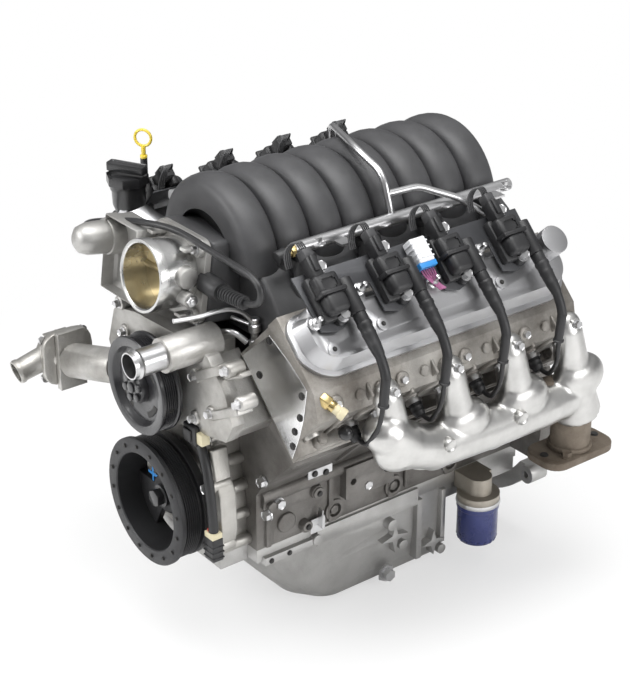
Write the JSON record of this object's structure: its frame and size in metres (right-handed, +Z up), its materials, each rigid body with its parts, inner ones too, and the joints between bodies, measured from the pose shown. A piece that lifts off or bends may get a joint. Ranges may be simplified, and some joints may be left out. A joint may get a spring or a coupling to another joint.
{
  "type": "vee eight piston engine",
  "caption": "Dressed vee engine with arched intake, throttle, coils, shielded exhaust, pump, damper and sump.",
  "frame": {"origin": "centre of the crankshaft flange's rear face, in the plane of the bell housing face", "axes": "+Y along the crankshaft towards the gearbox, +Z up, +X towards the engine's left bank when the front faces -Y"},
  "size_m": [0.6367, 0.7404, 0.6962],
  "materials": {
    "adapter_aluminium": "dull casting",
    "black_plastic": "moulded, fine grain",
    "black_rubber": "smooth rubber",
    "blade_brass": "brushed",
    "block_iron": "rough sand casting, aged",
    "bracket_grey": "coated sheet",
    "bright_steel": "plated",
    "cast_aluminium": "satin casting",
    "chain_steel": "oiled steel",
    "coil_black": "moulded",
    "cover_aluminium": "smooth casting",
    "damper_black": "matt dark",
    "forged_steel": "machined and forged steel",
    "gasket_grey": "layered steel",
    "navy_paint": "gloss paint",
    "pan_aluminium": "grey casting",
    "piston_aluminium": "machined",
    "pulley_black": "satin black",
    "rusty_iron": "surface rust",
    "shield_steel": "bright stamped sheet",
    "throttle_aluminium": "bright casting, machined ring",
    "tube_black": "satin black",
    "yellow_plastic": "moulded"
  },
  "bodies": {
    "engine": {"breather_hose": "black_rubber", "coil_bracket_left": "bracket_grey", "coil_bracket_right": "bracket_grey", "coolant_vent_pipe": "bright_steel", "cylinder_head_left": "cast_aluminium", "cylinder_head_right": "cast_aluminium", "dipstick_tube": "tube_black", "drain_plug": "bright_steel", "engine_block": "block_iron", "exhaust_manifold_left": "rusty_iron", "exhaust_manifold_right": "rusty_iron", "filter_adapter": "adapter_aluminium", "front_cover": "cast_aluminium", "fuel_injectors": "black_plastic", "fuel_rails": "bright_steel", "head_gaskets": "gasket_grey", "heat_shield_left": "shield_steel", "heat_shield_right": "shield_steel", "ignition_coils_left": "coil_black", "ignition_coils_right": "coil_black", "intake_manifold": "black_plastic", "main_bearing_caps": "block_iron", "oil_filler_neck": "black_plastic", "oil_filter": "navy_paint", "oil_pan": "pan_aluminium", "oil_pickup": "bright_steel", "oil_pump": "cast_aluminium", "plug_wires_left": "black_rubber", "plug_wires_right": "black_rubber", "rear_cover": "cast_aluminium", "spark_plugs_left": "bright_steel", "spark_plugs_right": "bright_steel", "thermostat_housing": "cast_aluminium", "throttle_body": "throttle_aluminium", "timing_chain": "chain_steel", "valley_cover": "cast_aluminium", "valve_cover_left": "cover_aluminium", "valve_cover_right": "cover_aluminium", "water_outlet_tube": "bright_steel", "water_pump": "cast_aluminium"},
    "crank": {"crankshaft": "forged_steel", "crank_sprocket": "forged_steel", "oil_pump_rotor": "forged_steel", "crank_damper": "damper_black", "damper_bolt": "forged_steel"},
    "cam": {"camshaft": "forged_steel", "cam_sprocket": "forged_steel"},
    "water_pump_rotor": {"water_pump_shaft": "bright_steel", "water_pump_pulley": "pulley_black"},
    "throttle_valve": {"throttle_blade": "blade_brass"},
    "oil_dipstick": {"dipstick": "yellow_plastic"},
    "filler_cap": {"oil_filler_cap": "black_plastic"},
    "bore_1": {"piston_1": "piston_aluminium"},
    "bore_2": {"piston_2": "piston_aluminium"},
    "bore_3": {"piston_3": "piston_aluminium"},
    "bore_4": {"piston_4": "piston_aluminium"},
    "bore_5": {"piston_5": "piston_aluminium"},
    "bore_6": {"piston_6": "piston_aluminium"},
    "bore_7": {"piston_7": "piston_aluminium"},
    "bore_8": {"piston_8": "piston_aluminium"}
  },
  "joints": [
    {"name": "crank_spin", "type": "hinge", "parent": "engine", "child": "crank", "pos_m": [0, 0, 0], "axis": [0, 1, 0], "continuous": true},
    {"name": "cam_spin", "type": "hinge", "parent": "engine", "child": "cam", "pos_m": [0, 0, 0.1248], "axis": [0, 1, 0], "continuous": true},
    {"name": "water_pump_spin", "type": "hinge", "parent": "engine", "child": "water_pump_rotor", "pos_m": [0, -0.6, 0.1867], "axis": [0, 1, 0], "continuous": true},
    {"name": "throttle_turn", "type": "hinge", "parent": "engine", "child": "throttle_valve", "pos_m": [0, -0.58071, 0.34118], "axis": [1, 0, 0], "range_deg": [0, 80], "stiffness_Nm_per_rad": 0.3, "springref_deg": -22.92},
    {"name": "dipstick_pull", "type": "slide", "parent": "engine", "child": "oil_dipstick", "axis": [0, 0, 1], "range_m": [0, 0.12]},
    {"name": "cap_turn", "type": "hinge", "parent": "engine", "child": "filler_cap", "pos_m": [-0.21155, -0.505, 0.38], "axis": [0, 0, 1], "range_deg": [0, 90]},
    {"name": "piston_1_slide", "type": "slide", "parent": "engine", "child": "bore_1", "axis": [0.7071, 0, 0.7071], "range_m": [-0.092, 0]},
    {"name": "piston_2_slide", "type": "slide", "parent": "engine", "child": "bore_2", "axis": [-0.7071, 0, 0.7071], "range_m": [-0.039, 0.053]},
    {"name": "piston_3_slide", "type": "slide", "parent": "engine", "child": "bore_3", "axis": [0.7071, 0, 0.7071], "range_m": [-0.039, 0.053]},
    {"name": "piston_4_slide", "type": "slide", "parent": "engine", "child": "bore_4", "axis": [-0.7071, 0, 0.7071], "range_m": [0, 0.092]},
    {"name": "piston_5_slide", "type": "slide", "parent": "engine", "child": "bore_5", "axis": [0.7071, 0, 0.7071], "range_m": [-0.039, 0.053]},
    {"name": "piston_6_slide", "type": "slide", "parent": "engine", "child": "bore_6", "axis": [-0.7071, 0, 0.7071], "range_m": [-0.092, 0]},
    {"name": "piston_7_slide", "type": "slide", "parent": "engine", "child": "bore_7", "axis": [0.7071, 0, 0.7071], "range_m": [0, 0.092]},
    {"name": "piston_8_slide", "type": "slide", "parent": "engine", "child": "bore_8", "axis": [-0.7071, 0, 0.7071], "range_m": [-0.039, 0.053]}
  ],
  "couplings": [
    {"joint": "cam_spin", "follows": "crank_spin", "ratio": 0.5},
    {"joint": "piston_6_slide", "follows": "piston_1_slide", "ratio": 1},
    {"joint": "piston_4_slide", "follows": "piston_7_slide", "ratio": 1},
    {"joint": "piston_3_slide", "follows": "piston_2_slide", "ratio": 1},
    {"joint": "piston_5_slide", "follows": "piston_8_slide", "ratio": 1}
  ]
}
